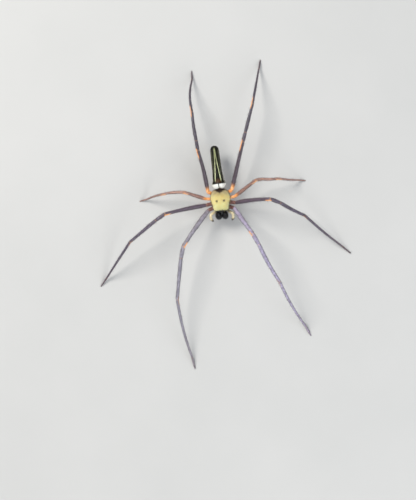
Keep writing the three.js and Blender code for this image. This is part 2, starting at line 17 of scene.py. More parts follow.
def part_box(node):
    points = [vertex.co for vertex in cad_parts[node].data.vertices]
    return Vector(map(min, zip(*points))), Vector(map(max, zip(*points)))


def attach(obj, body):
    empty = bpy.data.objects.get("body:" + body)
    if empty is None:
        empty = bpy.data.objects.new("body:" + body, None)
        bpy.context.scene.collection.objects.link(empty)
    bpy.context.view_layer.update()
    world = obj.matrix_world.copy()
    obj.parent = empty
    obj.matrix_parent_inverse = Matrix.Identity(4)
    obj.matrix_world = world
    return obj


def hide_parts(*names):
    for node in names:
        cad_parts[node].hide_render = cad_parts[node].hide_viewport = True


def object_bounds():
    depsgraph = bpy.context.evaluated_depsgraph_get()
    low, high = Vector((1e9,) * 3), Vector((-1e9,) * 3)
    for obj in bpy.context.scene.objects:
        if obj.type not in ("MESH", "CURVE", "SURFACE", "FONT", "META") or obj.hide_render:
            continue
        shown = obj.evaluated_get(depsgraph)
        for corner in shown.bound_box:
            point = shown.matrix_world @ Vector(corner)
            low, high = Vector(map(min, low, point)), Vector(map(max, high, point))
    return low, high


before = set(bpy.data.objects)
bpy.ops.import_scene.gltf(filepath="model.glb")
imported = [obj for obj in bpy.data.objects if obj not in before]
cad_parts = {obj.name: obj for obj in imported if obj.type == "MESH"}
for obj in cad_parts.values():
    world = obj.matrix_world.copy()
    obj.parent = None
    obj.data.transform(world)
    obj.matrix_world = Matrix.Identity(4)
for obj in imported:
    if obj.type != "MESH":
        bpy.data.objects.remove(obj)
solid_box = [list(corner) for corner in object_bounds()]

scene = bpy.context.scene
RANDOM = np.random.default_rng(29)
HAIR_SHARE = 1.0
BAKE_PATCH = 0.003  # side of one hair's patch on the map OFBake

# Numbers shared with the solids, in millimetres

JOINT_GAP = 0.3
SIDES = {"left": 1, "right": -1}
PAIRS = (1, 2, 3, 4)
CARAPACE = Named(
    rear=6.1, front=-6.9, half_width=5.2, head_half_width=4.05, rim=9.3, edge=0.45, thorax=2.7, head=4.3
)
CORE = Named(half_width=2.1, front=-4.4, rear=3.3, bottom=6.75)
STERNUM = Named(half_width=2.75, front=-3.0, rear=3.6, bottom=5.5, top=6.45)
LABIUM = Named(half_width=0.95, front=-4.75, rear=-3.3, bottom=5.5, top=6.45)
ABDOMEN = Named(
    front=6.6, rear=29.2, axis=(10.9, 10.2),
    shoulder=3.9, waist=2.78, middle=2.38, rear_half_width=2.17, lobe=0.55,
)
ABDOMEN_TURN = math.radians(2.5)
ABDOMEN_HINGE = np.array([0.0, 6.4, 9.6])
PEDICEL = Named(radius=0.85, start=(0, 4.6, 8.9), end=(0, 9.0, 10.2))
SPINNERETS = Named(y=25.0, root=9.0, tip=5.0, spread=0.72, radius=0.62, ring=1.55, ring_tip=6.9)
CHELICERA = Named(offset=1.68, half_width=1.72, half_depth=1.85, top=11.4, bottom=4.6, back=-6.5, lean=1.3)
FANG = Named(base=(2.3, -9.2, 4.35), bend=(2.35, -9.3, 3.0), point=(0.7, -7.2, 3.9), radius=0.5)
# Place and radius of each lens on the left
EYES = {
    "front_median": (0.62, -6.55, 11.35, 0.36),
    "rear_median": (0.66, -5.65, 12.35, 0.36),
    "front_side": (3.0, -6.15, 10.75, 0.3),
    "rear_side": (3.2, -5.3, 11.3, 0.3),
}
MAXILLA = Named(start=(3.05, -3.95, 6.35), end=(1.15, -6.35, 5.9), half_height=0.55)
HORN = Named(x=1.9, y=-0.9, radius=0.5, height=0.85)
# Root of the coxa and end of the trochanter on the left
HIPS = {
    1: ((2.75, -3.35, 7.65), (6.9, -4.9, 8.4)),
    2: ((3.1, -1.25, 7.6), (7.9, -2.1, 8.4)),
    3: ((3.0, 0.85, 7.6), (7.8, 1.2, 8.4)),
    4: ((2.35, 2.8, 7.6), (6.5, 4.9, 8.4)),
}
# Knee, ankle, foot, and how far femur, tibia and metatarsus bow sideways. A foot's radius gives its height
STANCE = {
    ("left", 1): ((16.2, -19.8, 21.5), (28.1, -46.3, 19.0), (42.0, -77.3), (0, 0.5, 0.75)),
    ("left", 2): ((27.0, -2.0, 21.5), (44.5, -12.3, 10.0), (67.2, -34.6), (-0.4, 0.3, 0.4)),
    ("left", 3): ((20.0, 8.9, 13.8), (31.9, 8.8, 9.6), (46.0, 6.7), (0, 0.3, 0.2)),
    ("left", 4): ((14.9, 29.9, 14.0), (21.8, 49.7, 13.5), (27.6, 73.6), (0, 0, 0)),
    ("right", 1): ((-21.8, -23.2, 16.0), (-27.9, -51.6, 11.5), (-22.5, -90.2), (0.35, 0.1, 0.85)),
    ("right", 2): ((-30.0, -5.0, 17.0), (-50.4, -18.3, 14.0), (-69.8, -41.0), (0.27, 0, 0)),
    ("right", 3): ((-18.9, 5.8, 14.5), (-30.1, 6.0, 9.8), (-44.2, 3.4), (0, 0.2, 0.25)),
    ("right", 4): ((-9.4, 27.3, 17.5), (-10.9, 48.2, 15.0), (-10.1, 71.1), (0.5, -0.25, -1.1)),
}
PATELLA_BEND = 0.2  # 0 keeps the patella in line with the tibia
# Factors of the hip radii and of the others, then the lengths of patella and tarsus
LEG_SIZE = {
    1: (1.0, 1.12, 6.4, 6.0),
    2: (0.97, 1.02, 6.0, 5.6),
    3: (0.8, 0.88, 3.6, 4.2),
    4: (0.95, 0.98, 5.2, 5.2),
}
HIP_RADIUS = dict(coxa_root=0.85, coxa=1.2, trochanter=1.08)
LEG_RADIUS = dict(
    femur_root=0.96, femur=1.14, femur_end=0.94, patella=0.97, tibia=0.9, tibia_end=0.72,
    metatarsus=0.64, metatarsus_end=0.47, tarsus=0.42, tip=0.28,
)
TARSUS_RISE = 1.5
TIP_SINK = 0.35
CLAW = Named(root=-0.25, length=0.75, radius=0.17, point=0.03, spread=0.16)
PALP = ((2.6, -5.35, 6.4), (6.1, -7.75, 9.6), (6.1, -9.5, 8.3), (5.2, -11.2, 5.2))
PALP_RADIUS = Named(root=0.62, femur=0.68, knee=0.62, tibia=0.64, tarsus=0.68, tip=0.26)

# Where the animal's own frame sits in the part's frame: one eye is found in both
eye_low, eye_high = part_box("eye_rear_median_left")
SHIFT = np.array((eye_low + eye_high) / 2) * 1000 - np.array(EYES["rear_median"][:3])
SHIFT[2] = 0.0
# Hair stays above the floor and hardly rises past the highest knee
HIGHEST = solid_box[1][2] * 1000 + 0.5

# Small helpers on numbers and arrays


def smooth(x, low, high):
    t = np.clip((np.asarray(x, float) - low) / (high - low), 0, 1)
    return t * t * (3 - 2 * t)


def mix(a, b, t):
    return a + (b - a) * t


def along(stops, t):
    """Value of a profile at t, from (t, value) stops joined by smooth steps."""
    t = np.asarray(t, float)
    value = np.full(t.shape, float(stops[0][1]))
    for (t0, v0), (t1, v1) in zip(stops, stops[1:]):
        value = np.where(t > t0, mix(v0, v1, smooth(t, t0, t1)), value)
    return value


def hump(x, centre, width):
    return np.exp(-(((x - centre) / width) ** 2))


def unit(v):
    v = np.asarray(v, float)
    return v / np.maximum(np.linalg.norm(v, axis=-1, keepdims=True), 1e-9)


def mirrored(points, side):
    """Points given for the left, moved to a side."""
    return np.asarray(points, float) * np.array([side, 1.0, 1.0])


def turned_abdomen(points):
    """Points of the straight abdomen, turned to the side as in the pose."""
    c, s = math.cos(ABDOMEN_TURN), math.sin(ABDOMEN_TURN)
    x, y, z = np.moveaxis(points - ABDOMEN_HINGE, -1, 0)
    return np.stack([c * x - s * y, s * x + c * y, z], -1) + ABDOMEN_HINGE


# Grids of points: rows run from one end of a skin to the other, columns run round it


def sphere_grid(rows, columns):
    """Unit sphere about the Z axis, first row at the top: x, y, z."""
    theta = np.pi * np.linspace(0, 1, rows)
    phi = np.linspace(0, 2 * np.pi, columns, endpoint=False)
    theta, phi = np.meshgrid(theta, phi, indexing="ij")
    return np.sin(theta) * np.cos(phi), np.sin(theta) * np.sin(phi), np.cos(theta)


def link(thing):
    scene.collection.objects.link(thing)
    return thing


def new_object(name, points, corners, sizes, attributes):
    """A mesh from flat arrays, moved from the animal's frame in millimetres to the part's frame in metres."""
    mesh = bpy.data.meshes.new(name)
    points = (np.asarray(points, float).reshape(-1, 3) + SHIFT) / 1000
    mesh.vertices.add(len(points))
    mesh.vertices.foreach_set("co", points.astype(np.float32).ravel())
    mesh.loops.add(len(corners))
    mesh.loops.foreach_set("vertex_index", np.asarray(corners, np.int32))
    mesh.polygons.add(len(sizes))
    mesh.polygons.foreach_set("loop_start", np.asarray(np.cumsum(sizes) - sizes, np.int32))
    mesh.polygons.foreach_set("loop_total", np.asarray(sizes, np.int32))
    mesh.polygons.foreach_set("use_smooth", np.full(len(sizes), True))
    mesh.update(calc_edges=True)
    mesh.validate()
    for key, values in attributes.items():
        values = np.asarray(values, np.float32)
        if values.ndim == 1:
            mesh.attributes.new(key, "FLOAT", "POINT").data.foreach_set("value", values)
        else:
            mesh.attributes.new(key, "FLOAT_VECTOR", "POINT").data.foreach_set("vector", values.ravel())
    return link(bpy.data.objects.new(name, mesh))


def grid_faces(rows, columns):
    """Quads round a closed grid, with a fan at each end about the two extra points that follow the grid."""
    r, c = np.meshgrid(np.arange(rows - 1), np.arange(columns), indexing="ij")
    d = (c + 1) % columns
    near, far = r * columns, (r + 1) * columns
    quads = np.stack([near + c, near + d, far + d, far + c], -1).reshape(-1, 4)
    c = np.arange(columns)
    d = (c + 1) % columns
    first = np.stack([np.full(columns, rows * columns), d, c], -1)
    last_row = (rows - 1) * columns
    last = np.stack([np.full(columns, rows * columns + 1), last_row + c, last_row + d], -1)
    return quads, np.concatenate([first, last])


def outward(points):
    """True where a closed grid already faces outward, judged by its signed volume."""
    a, b = points[:-1], points[1:]
    around = np.roll(a, -1, axis=1)
    centre = points.reshape(-1, 3).mean(0)
    return np.einsum("ijk,ijk->", np.cross(around - a, b - a), a - centre) > 0


class Skin:
    """A closed grid of points (rows, columns, 3) with values on them, for a mesh and the roots of its hair."""

    def __init__(self, points, **values):
        points = np.asarray(points, float)
        flip = not outward(points)
        self.points = points[:, ::-1] if flip else points
        self.values = {k: (v[:, ::-1] if flip else v) for k, v in values.items()}
        self.values.setdefault("place", self.points)

    def parts(self):
        rows, columns = self.points.shape[:2]
        ends = [self.points[0].mean(0), self.points[-1].mean(0)]
        points = np.concatenate([self.points.reshape(-1, 3), ends])
        values = {}
        for key, v in self.values.items():
            caps = [row.reshape(columns, -1).mean(0) for row in (v[0], v[-1])]
            flat = np.concatenate([v.reshape(rows * columns, -1), caps])
            values[key] = flat[:, 0] if flat.shape[1] == 1 else flat
        return points, values, grid_faces(rows, columns)

    def scatter(self, count, weight=None):
        """Random roots, even or by weight: points, normals, way along the rows, place on the map, values."""
        p = self.points
        right, down = np.roll(p, -1, axis=1), p[1:]
        normals = np.cross(right[:-1] - p[:-1], down - p[:-1])
        area = np.linalg.norm(normals, axis=-1)
        if weight is not None:
            area = area * weight[:-1]
        rows, columns = area.shape
        # The order of the draws is fixed, so that each run grows the same hairs
        cell = RANDOM.choice(rows * columns, size=count, p=(area / area.sum()).ravel())
        r, c = np.divmod(cell, columns)
        fr, fc = RANDOM.random(count), RANDOM.random(count)
        d = (c + 1) % columns

        def at(grid):
            w = (fr, fc) if grid.ndim == 2 else (fr[:, None], fc[:, None])
            return mix(mix(grid[r, c], grid[r, d], w[1]), mix(grid[r + 1, c], grid[r + 1, d], w[1]), w[0])

        return dict(
            root=at(p),
            normal=unit(normals[r, c]),
            way=unit(p[r + 1, c] - p[r, c]),
            map=np.stack([(c + fc) / columns, (r + fr) / rows], -1),
            values={k: at(v) for k, v in self.values.items()},
        )


def make_skin(name, skins):
    """One mesh of one or more closed grids."""
    skins = skins if isinstance(skins, list) else [skins]
    points, corners, sizes, values = [], [], [], {}
    count = 0
    for skin in skins:
        p, v, faces_of_each_size = skin.parts()
        for faces in faces_of_each_size:
            corners.append((faces + count).ravel())
            sizes.append(np.full(len(faces), faces.shape[1]))
        for key in v:
            values.setdefault(key, []).append(v[key])
        points.append(p)
        count += len(p)
    points, corners, sizes = map(np.concatenate, (points, corners, sizes))
    return new_object(name, points, corners, sizes, {k: np.concatenate(v) for k, v in values.items()})


def make_coat(name, roots, length, width, flow=None, lie=0.8, jitter=0.25, curl=0.35):
    """Three-sided spikes of hair with one bend. lie is 1 for hair that is flat along flow, 0 for upright."""
    root, normal = roots["root"], roots["normal"]
    count = len(root)
    flow = roots["way"] if flow is None else np.broadcast_to(np.asarray(flow, float), root.shape)
    flow = flow + RANDOM.normal(0, jitter, root.shape)
    flow = unit(flow - normal * np.sum(flow * normal, -1, keepdims=True))
    lie = np.clip(lie + RANDOM.normal(0, 0.06, count), 0, 0.97)[:, None]
    length = (length * RANDOM.uniform(0.7, 1.15, count))[:, None]
    rise = np.sqrt(1 - lie**2)
    start_way = unit(flow * lie + normal * rise)
    end_way = unit(flow * np.minimum(lie + curl, 1.2) + normal * rise * (1 - curl))
    side = unit(np.cross(start_way, normal))
    other = np.cross(start_way, side)
    foot = root - normal * width * 0.5
    bend = root + start_way * length * 0.5
    tip = bend + end_way * length * 0.5
    points = np.stack(
        [
            place + (side * a + other * b) * half
            for place, half in ((foot, width * 0.5), (bend, width * 0.4), (tip, width * 0.075))
            for a, b in ((0.0, 1.0), (-0.87, -0.5), (0.87, -0.5))
        ],
        1,
    )
    points[..., 2] = np.clip(points[..., 2], 0.01, HIGHEST)
    edges = ((0, 1), (1, 2), (2, 0))
    sides = [(low + a, low + b, low + b + 3, low + a + 3) for low in (0, 3) for a, b in edges]
    corners = (np.ravel(sides)[None] + 9 * np.arange(count)[:, None]).ravel()
    values = {k: np.repeat(v, 9, axis=0) for k, v in roots["values"].items()}
    values["shade"] = np.repeat(RANDOM.random(count), 9)
    coat = new_object(name, points, corners, np.full(len(sides) * count, 4), values)
    patch = np.array([(u, v) for v in (0, 0.5, 1) for u in (0, 0.5, 1)]) * BAKE_PATCH
    place = np.clip(roots["map"], 0.002, 0.995)[:, None] + patch[None]
    layer = coat.data.uv_layers.new(name="OFBake")
    layer.data.foreach_set("uv", place.reshape(-1, 2)[corners].astype(np.float32).ravel())
    return coat


# Shader maths


class Wire:
    """A node's output socket with arithmetic on it. vector says that it carries three numbers."""

    def __init__(self, paint, socket, vector=False):
        self.paint, self.socket, self.vector = paint, socket, vector

    def maths(self, operation, other=None, swapped=False):
        terms = [self] if other is None else [other, self] if swapped else [self, other]
        kind = "ShaderNodeVectorMath" if self.vector else "ShaderNodeMath"
        return self.paint.node(kind, {"operation": operation}, dict(enumerate(terms)), vector=self.vector)

    def __add__(self, other):
        return self.maths("ADD", other)

    __radd__ = __add__

    def __sub__(self, other):
        return self.maths("SUBTRACT", other)

    def __rsub__(self, other):
        return self.maths("SUBTRACT", other, swapped=True)

    def __mul__(self, other):
        return self.maths("MULTIPLY", other)

    def __truediv__(self, other):
        return self.maths("DIVIDE", other)

    def __pow__(self, other):
        return self.maths("POWER", other)

    def __abs__(self):
        return self.maths("ABSOLUTE")

    def sine(self):
        return self.maths("SINE")

    def at_least(self, other):
        return self.maths("MAXIMUM", other)

    def at_most(self, other):
        return self.maths("MINIMUM", other)

    def step(self, low, high):
        """0 below low, 1 above high, smooth between. With low above high it falls instead."""
        low, high, start, end = (low, high, 0.0, 1.0) if low <= high else (high, low, 1.0, 0.0)
        values = {"Value": self, "From Min": low, "From Max": high, "To Min": start, "To Max": end}
        return self.paint.node("ShaderNodeMapRange", {"interpolation_type": "SMOOTHSTEP"}, values)

    def bell(self, centre, width):
        """1 at centre, falling to 0 at width either side."""
        return abs(self - centre).step(width, 0.0)

    def part(self, letter):
        return self.paint.node("ShaderNodeSeparateXYZ", {}, {0: self}, out=letter)


class Paint:
    """A material whose finish is written as expressions."""

    def __init__(self, name):
        self.material = bpy.data.materials.new(name)
        self.material.use_nodes = True
        self.tree = self.material.node_tree
        self.shader = self.tree.nodes["Principled BSDF"]

    def node(self, kind, settings, values, out=0, vector=False):
        node = self.tree.nodes.new(kind)
        for key, value in settings.items():
            setattr(node, key, value)
        for key, value in values.items():
            self.feed(node.inputs[key], value)
        return Wire(self, node.outputs[out], vector)

    def feed(self, socket, value):
        if isinstance(value, Wire):
            self.tree.links.new(value.socket, socket)
        else:
            socket.default_value = (*value, 1) if socket.type == "RGBA" else value

    def value(self, name):
        return self.node("ShaderNodeAttribute", {"attribute_name": name}, {}, out="Fac")

    def place(self):
        """Where a point lies in the animal's frame, in millimetres. A hair has the place of its root."""
        return self.node("ShaderNodeAttribute", {"attribute_name": "place"}, {}, out="Vector", vector=True)

    def across_and_along(self):
        """Distance from the animal's middle line, and the way along that line towards the abdomen."""
        place = self.place()
        return abs(place.part("X")), place.part("Y")

    def noise(self, scale, detail=3.0, coords=None, stretch=None):
        """Cloudy noise of about 0 to 1."""
        coords = coords or self.place()
        if stretch:
            coords = coords * stretch
        values = {"Vector": coords, "Scale": scale, "Detail": detail, "Roughness": 0.55}
        return self.node("ShaderNodeTexNoise", {}, values)

    def cells(self, scale):
        return self.node("ShaderNodeTexVoronoi", {"feature": "F1"}, {"Vector": self.place(), "Scale": scale})

    def blend(self, mask, below, above):
        settings = {"data_type": "RGBA", "clamp_factor": True}
        return self.node("ShaderNodeMix", settings, {0: mask, 6: below, 7: above}, out=2)

    def ramp(self, value, *stops):
        """Colour that runs through (place, colour) stops."""
        colour = self.node("ShaderNodeValToRGB", {}, {0: value})
        elements = colour.socket.node.color_ramp.elements
        while len(elements) < len(stops):
            elements.new(0.5)
        for element, (place, tone) in zip(elements, stops):
            element.position, element.color = place, (*tone, 1)
        return colour

    def relief(self, height, distance, strength):
        """Bump of height 0 to 1 over a distance in millimetres."""
        values = {"Height": height, "Distance": distance / 1000, "Strength": strength}
        return self.node("ShaderNodeBump", {}, values)

    def finish(self, colour, roughness, normal=None, **constants):
        self.feed(self.shader.inputs["Base Color"], colour)
        self.feed(self.shader.inputs["Roughness"], roughness)
        if normal:
            self.feed(self.shader.inputs["Normal"], normal)
        for key, value in constants.items():
            self.feed(self.shader.inputs[key.replace("_", " ")], value)
        return self.material


def linear(code):
    """A colour written as six hex digits, in the renderer's linear numbers."""
    parts = [int(code[i : i + 2], 16) / 255 for i in (0, 2, 4)]
    return tuple(c / 12.92 if c <= 0.04045 else ((c + 0.055) / 1.055) ** 2.4 for c in parts)


HUES = dict(
    # Carapace
    gold="FBE695", pale_gold="FFFCC2", grey_gold="C2AC84", tawny="D2AE62", fur_light="FFF6C8",
    notch_brown="38200F", eye_field="120D0C",
    # Legs
    orange="EA9448", pale_orange="F9BE85", orange_hair="FFD9A0", leg_brown="6B4638",
    hip_brown="6A4038", joint_skin="B98A5E",
    # Abdomen
    black="0C0D08", green_black="1E1F13", cream="F6F5EF", stripe="E2E6B8", stripe_front="A9AE80",
    outer_line="9A9C82", flank_line="C8C3B0", saddle="5A3A20", belly="2A1B10", pale_belly="5B4022",
    belly_spot="C9B36A", lung_cover="8A6A34", hair_light="B9B08E",
)
HUE = Named(**{name: linear(code) for name, code in HUES.items()})
# Shell in the hollows of the cloud, and a paler tone on its crests and as painted sheen along the top of the
# leg, for each pair of legs
LEG_TONES_AND_PAINTED_SHEEN = {
    1: (linear("332B39"), linear("ADA4BE")),
    2: (linear("171217"), linear("544A5B")),
    3: (linear("4A342E"), linear("B58C7C")),
    4: (linear("161116"), linear("48424E")),
}
# Darker, greyer tones for the right front leg; the left front leg's paler lilac tones are a painted reflection
RIGHT_FRONT_LEG_LESS_SHEEN = (linear("1E1B22"), linear("8B8A90"))
# Where along each leg the colour of the hip ends
HIP_COLOUR_ENDS = {1: 1.06, 2: 1.06, 3: 1.24, 4: 1.17}
DARK_HAIR = (
    (0.0, linear("1B1418")), (0.6, linear("4A3D48")), (0.85, linear("8F8290")), (1.0, linear("D8CFDA")),
)
FANG_HORN = ((0.0, linear("140807")), (0.6, linear("2A0D08")), (1.0, linear("5A1C0E")))


# Shapes


def carapace_half_width(y):
    c = CARAPACE
    head, widest = c.head_half_width, 0.6
    stops = [(c.front, head * 0.95), (-5.2, head), (-3.2, 4.2), (widest, c.half_width)]
    t = np.maximum(0, (y - widest) / (c.rear - widest))
    return along(stops, y) * (1 - 0.25 * t * t)


def carapace_rise(x, y):
    """Height above the rim: raised head, lower thorax, a groove between them, a pit and furrows behind."""
    c = CARAPACE
    crown = mix(c.thorax, c.head, smooth(-y, -0.8, 2.6))
    front_slope = 1 - 0.42 * smooth(-y, 4.4, 6.9)
    rear_slope = 1 - 0.62 * smooth(y, 2.2, 6.1)
    groove = 0.5 * hump(y, -0.4 - 0.75 * np.abs(x), 0.7) * smooth(np.abs(x), 0.3, 2.2)
    pit = 0.35 * np.exp(-(x**2 + (y - 2.0) ** 2) / 0.9)
    furrows = 0.0
    for reach in (0.55, 1.15, 1.9):
        line = (reach - 1.2) * np.abs(x) * 0.9
        furrows = furrows + 0.12 * hump(y - 1.9, line, 0.28) * smooth(np.abs(x), 0.9, 2.4)
    return crown * front_slope * rear_slope - groove - pit - furrows


def carapace_skin():
    """edge runs from 0 at the crown to 1 at the rim and below it."""
    c = CARAPACE
    px, py, pz = sphere_grid(130, 200)
    round_ = np.hypot(px, py)
    turn = np.arctan2(py, px)
    square = 1 / (np.cos(turn) ** 4 + np.sin(turn) ** 4) ** (1 / 4)
    middle, half = (c.front + c.rear) / 2, (c.rear - c.front) / 2
    y = middle + half * np.sin(turn) * square * round_
    x = carapace_half_width(y) * np.cos(turn) * square * round_
    fall = np.sqrt(np.maximum(0, 1 - round_**3.2))
    top = c.rim + np.maximum(0.2, carapace_rise(x, y)) * fall
    z = np.where(pz >= 0, top, c.rim - c.edge * fall)
    return Skin(np.stack([x, y, z], -1), edge=np.where(pz >= 0, round_, 1.0))


def ball(centre, radius):
    return Skin(np.stack(sphere_grid(24, 32), -1) * radius + centre)


def cone(base, tip, radius, end_radius):
    t = np.linspace(0, 1, 14)[:, None]
    return tube(mix(base, tip, t), mix(radius, end_radius, t[:, 0] ** 0.8), 16)


def frames(path, up=(0, 0, 1)):
    """Side and lift at each point of a path."""
    way = unit(np.gradient(path, axis=0))
    side = unit(np.cross(way, np.asarray(up, float)))
    return side, np.cross(side, way)


def tube(path, radius, columns, high=None, up=(0, 0, 1), **values):
    """A bar round a path. back is 1 along its top and -1 below, flank is 1 and -1 along its sides."""
    side, lift = frames(path, up)
    phi = np.linspace(0, 2 * np.pi, columns, endpoint=False)
    high = radius if high is None else high
    rings = (
        path[:, None]
        + side[:, None] * (np.cos(phi)[None, :, None] * radius[:, None, None])
        + lift[:, None] * (np.sin(phi)[None, :, None] * high[:, None, None])
    )
    spread = {k: np.repeat(np.asarray(v, float)[:, None], columns, axis=1) for k, v in values.items()}
    spread["back"] = np.repeat(np.sin(phi)[None], len(path), axis=0)
    spread["flank"] = np.repeat(np.cos(phi)[None], len(path), axis=0)
    return Skin(rings, **spread)


def eye_centre(name, side):
    return mirrored(EYES[name][:3], side)


def bare_mounds():
    """Skins of the low mounds under the eyes and of the two small horns, which have no edge."""
    skins = []
    for eye, (*_, radius) in EYES.items():
        for side in SIDES.values():
            skins.append(ball(eye_centre(eye, side) + np.array([0, 0.42, -0.38]), radius * 1.7))
    for side in SIDES.values():
        top = CARAPACE.rim + carapace_rise(HORN.x, HORN.y)
        at = np.array([side * HORN.x, HORN.y, top])
        skins.append(cone(at - [0, 0, 0.45], at + [0, 0, HORN.height], HORN.radius, 0.08))
    for skin in skins:
        skin.values = {"place": skin.points, "edge": np.zeros(skin.points.shape[:2])}
    return skins


def core_skin():
    """The flesh between the carapace and the sternum, where the legs are rooted."""
    c = CORE
    rows, columns = 24, 64
    t = np.linspace(0, 1, rows)[:, None]
    phi = np.linspace(0, 2 * np.pi, columns, endpoint=False)[None]
    swell = 1 - 0.18 * (2 * t - 1) ** 4
    x = c.half_width * np.cos(phi) * swell
    y = mix(c.front, c.rear, (1 - np.sin(phi)) / 2)
    y = mix((c.front + c.rear) / 2, y, swell)
    z = mix(c.bottom, CARAPACE.rim + 0.6, t) + 0 * phi
    return Skin(np.stack([x + 0 * t, y + 0 * t, z], -1))


def sternum_skin():
    s = STERNUM
    px, py, pz = sphere_grid(60, 96)
    y = mix(s.front, s.rear, (py + 1) / 2)
    x = s.half_width * (1 - 0.5 * smooth(y, -0.6, s.rear)) * px
    flat = np.abs(pz) ** 0.45
    bumps = 0.22 * hump(np.abs(x), 1.7, 0.5) * np.cos(y * 1.5) ** 2
    middle = (s.top + s.bottom) / 2
    z = np.where(pz > 0, mix(middle, s.top, flat), mix(middle, s.bottom - bumps, flat))
    return Skin(np.stack([x, y, z], -1))


def labium_skin():
    s = LABIUM
    px, py, pz = sphere_grid(30, 48)
    y = mix(s.front, s.rear, (py + 1) / 2)
    x = s.half_width * (1 - 0.25 * smooth(-y, -s.rear, -s.front)) * np.sign(px) * np.abs(px) ** 0.8
    return Skin(np.stack([x, y, mix(s.bottom, s.top, (pz + 1) / 2)], -1))


def maxilla_skin(side):
    px, py, pz = sphere_grid(34, 48)
    start, end = mirrored(MAXILLA.start, side), mirrored(MAXILLA.end, side)
    way = end - start
    sideways = unit([way[1], -way[0], 0])
    t = (py + 1) / 2
    wide = mix(0.75, 1.0, smooth(t, 0.2, 0.8))
    points = start + way * t[..., None] + sideways * (px * wide)[..., None]
    points[..., 2] += pz * MAXILLA.half_height
    return Skin(points, span=t)


def chelicera_skin(side):
    c = CHELICERA
    px, pz, py = sphere_grid(60, 64)
    t = (1 - py) / 2
    round_ = np.maximum(np.hypot(px, pz), 1e-6)
    blunt = np.where(t < 0.5, 2.6, 7.0)
    fill = np.sqrt(np.maximum(0, 1 - np.abs(py) ** blunt)) / round_
    wide = along([(0, 0.95), (0.35, 1.06), (0.85, 0.8), (1, 0.74)], t) * c.half_width
    deep = along([(0, 0.9), (0.35, 1.1), (0.85, 0.78), (1, 0.7)], t) * c.half_depth
    z = mix(c.top, c.bottom, t)
    y = c.back - 1.2 - c.lean * smooth(t, 0, 0.9) - pz * fill * deep
    x = c.offset + px * fill * wide
    inner = JOINT_GAP / 2
    x = np.maximum(np.maximum(x, mix(x, inner, 0.85)), inner)
    return Skin(mirrored(np.stack([x, y, z], -1), side), span=t)


def fang_skin(side):
    a, b, c = map(np.array, (FANG.base, FANG.bend, FANG.point))
    t = np.linspace(0, 1, 40)[:, None]
    path = (1 - t) ** 2 * a + 2 * t * (1 - t) * b + t**2 * c
    path = np.concatenate([path[:1] + [[0, 0.1, 0.7]], path])
    t = np.append(0, t[:, 0])
    skin = tube(path, FANG.radius * (1 - 0.86 * t**1.6), 24, up=(1, 0.2, 0), span=t)
    return Skin(mirrored(skin.points, side), span=skin.values["span"])


class Segment(NamedTuple):
    """Half widths along a segment as stops, its bow up and sideways, and how its height follows its width."""

    stops: list
    bow: float = 0
    sway: float = 0
    tall: float = 1
    least: float = 0


def smoothed(path, reach):
    """A path with its corners rounded over a reach in points, its two ends kept."""
    ends = np.concatenate([2 * path[0] - path[reach:0:-1], path, 2 * path[-1] - path[-2 : -reach - 2 : -1]])
    window = np.hanning(2 * reach + 3)[1:-1]
    window /= window.sum()
    return np.stack([np.convolve(ends[:, k], window, "valid") for k in range(3)], -1)


def limb(joints, segments, step=0.2, reach=3):
    """Path, half widths, half heights, span (segment number and part of it), distance to nearest joint."""
    path, wide, high, span, gap = [], [], [], [], []
    last = len(segments) - 1
    for k, (a, b, segment) in enumerate(zip(joints, joints[1:], segments)):
        length = np.linalg.norm(b - a)
        t = np.linspace(0, 1, max(6, int(length / step)), endpoint=k == last)
        side, lift = frames(np.stack([a, b]))
        bend = lift[0] * segment.bow + side[0] * segment.sway
        path.append(mix(a, b, t[:, None]) + bend * np.sin(np.pi * t)[:, None])
        wide.append(along(segment.stops, t))
        high.append(np.maximum(wide[-1] * segment.tall, segment.least))
        span.append(k + t)
        gap.append(np.minimum(t if k else t + 9, 1 - t if k < last else 9) * length)
    path, wide, high, span, gap = map(np.concatenate, (path, wide, high, span, gap))
    soften = np.array([1, 2, 3, 2, 1]) / 9
    wide, high = (np.convolve(np.pad(v, 2, mode="edge"), soften, "valid") for v in (wide, high))
    return smoothed(path, reach), wide, high, span, gap


def kept_above_floor(skin):
    skin.points[..., 2] = np.maximum(skin.points[..., 2], 0.0)
    return skin


def leg_joints(side, pair):
    _, girth, patella, tarsus = LEG_SIZE[pair]
    coxa, hip = (mirrored(p, SIDES[side]) for p in HIPS[pair])
    knee, ankle, foot, _ = STANCE[side, pair]
    knee, ankle = np.array(knee), np.array(ankle)
    foot = np.array([*foot, LEG_RADIUS["tip"] * girth * (1 - TIP_SINK)])
    patella_way = unit(PATELLA_BEND * unit(knee - hip) + unit(ankle - knee))
    tarsus_start = foot - tarsus * unit(foot - ankle)
    tarsus_start[2] = TARSUS_RISE
    return [coxa, hip, knee, knee + patella * patella_way, ankle, tarsus_start, foot]


